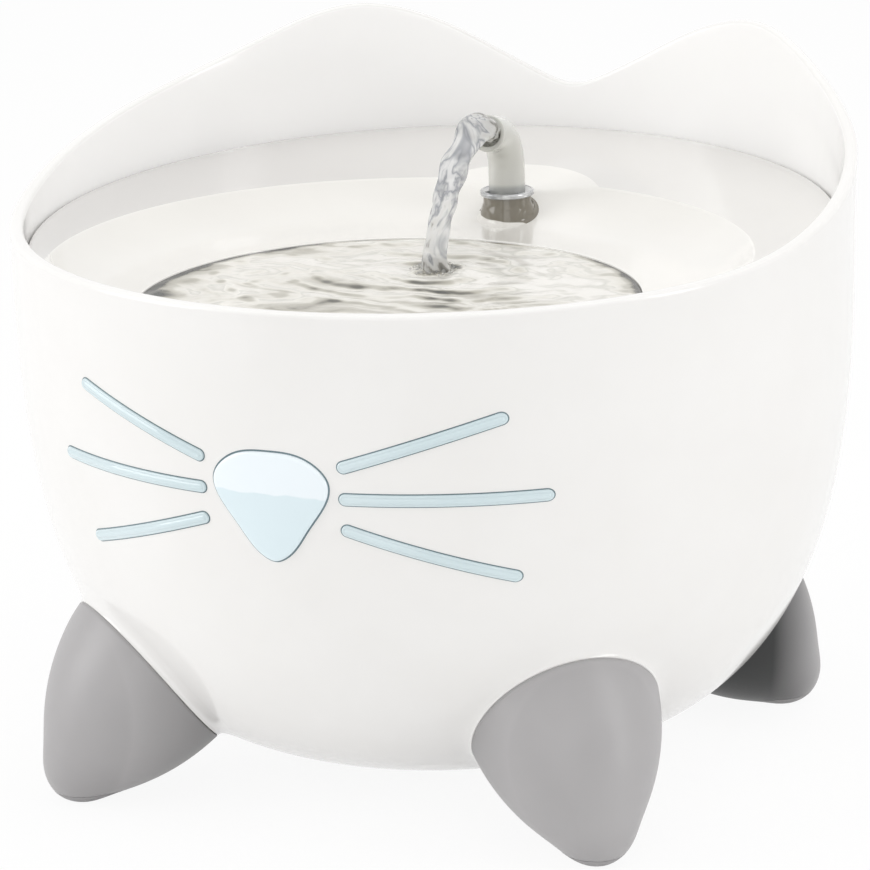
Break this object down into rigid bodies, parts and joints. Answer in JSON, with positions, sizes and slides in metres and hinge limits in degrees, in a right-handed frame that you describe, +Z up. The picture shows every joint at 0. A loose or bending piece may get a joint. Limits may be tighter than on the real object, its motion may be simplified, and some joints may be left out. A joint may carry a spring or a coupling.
{
  "type": "pet water fountain",
  "caption": "Round cat-faced pet water fountain: an eared bowl on four claw feet, a lift-out drinking tray with a swivelling spout, and a filtered pump below.",
  "frame": {"origin": "on the floor, under the middle of the bowl", "axes": "+Z up; the cat's face looks along -Y; +X is towards the right ear in a view of the face"},
  "size_m": [0.242, 0.2429, 0.1954],
  "materials": {
    "body_white": "glossy white ABS",
    "tray_white": "glossy warm white ABS",
    "face_blue": "glossy pale blue, lets light through",
    "foot_grey": "satin grey plastic",
    "pad_rubber": "matt grey rubber",
    "seal_rubber": "soft white silicone",
    "cup_rubber": "matt black rubber",
    "screw_steel": "stainless",
    "collar_clear": "clear and shiny",
    "spout_clear": "milky, half clear",
    "pump_plastic": "matt black ABS",
    "board_green": "solder resist",
    "diode_yellow": "phosphor",
    "core_steel": "stacked laminations",
    "coil_copper": "enamelled copper wire",
    "resin": "cast resin",
    "shaft_ceramic": "ground ceramic",
    "impeller_white": "matt",
    "magnet": "sintered ferrite",
    "foam": "open-cell foam",
    "case_white": "satin",
    "frame_white": "satin",
    "carbon": "cotton pad over carbon grains"
  },
  "bodies": {
    "base": {"reservoir_shell": "body_white", "nose_lens": "face_blue", "lamp_seal": "seal_rubber", "whisker_left_upper": "face_blue", "whisker_left_middle": "face_blue", "whisker_left_lower": "face_blue", "whisker_right_upper": "face_blue", "whisker_right_middle": "face_blue", "whisker_right_lower": "face_blue", "lamp_chamber": "pump_plastic", "lamp_board": "board_green", "lamp_diodes": "diode_yellow", "foot_front_left": "foot_grey", "foot_front_right": "foot_grey", "foot_rear_left": "foot_grey", "foot_rear_right": "foot_grey", "foot_pad_front_left": "pad_rubber", "foot_pad_front_right": "pad_rubber", "foot_pad_rear_left": "pad_rubber", "foot_pad_rear_right": "pad_rubber", "foot_screws": "screw_steel", "cable_grommet": "seal_rubber", "riser_tube": "spout_clear", "pump_housing": "pump_plastic", "motor_core": "core_steel", "motor_coil": "coil_copper", "potting_resin": "resin", "impeller_shaft": "shaft_ceramic", "shaft_bush_rear": "seal_rubber", "shaft_bush_front": "seal_rubber", "volute_cover": "pump_plastic", "suction_cup_1": "cup_rubber", "suction_cup_2": "cup_rubber", "suction_cup_3": "cup_rubber", "suction_cup_4": "cup_rubber", "filter_case": "case_white", "filter_case_lid": "case_white"},
    "tray": {"drinking_tray": "tray_white", "spout_collar": "collar_clear", "riser_seal": "seal_rubber"},
    "spout": {"spout_elbow": "spout_clear"},
    "impeller": {"impeller": "impeller_white", "rotor_magnet": "magnet"},
    "intake": {"intake_cover": "pump_plastic", "intake_foam": "foam"},
    "slider": {"flow_slider": "impeller_white"},
    "cartridge": {"filter_frame": "frame_white", "filter_foam": "foam", "filter_carbon_pack": "carbon"}
  },
  "joints": [
    {"name": "tray_lift", "type": "slide", "parent": "base", "child": "tray", "axis": [0, 0, 1], "range_m": [0, 0.16]},
    {"name": "spout_swivel", "type": "hinge", "parent": "tray", "child": "spout", "pos_m": [0, 0.06, 0.1495], "axis": [0, 0, 1], "range_deg": [-40, 40]},
    {"name": "cartridge_lift", "type": "slide", "parent": "base", "child": "cartridge", "axis": [0, 0, 1], "range_m": [0, 0.038]},
    {"name": "impeller_spin", "type": "hinge", "parent": "base", "child": "impeller", "pos_m": [0, 0.047, 0.04], "axis": [1, 0, 0], "continuous": true},
    {"name": "intake_pull", "type": "slide", "parent": "base", "child": "intake", "axis": [-1, 0, 0], "range_m": [0, 0.018]},
    {"name": "flow_slide", "type": "slide", "parent": "intake", "child": "slider", "axis": [0, -1, 0], "range_m": [0, 0.0044]}
  ]
}
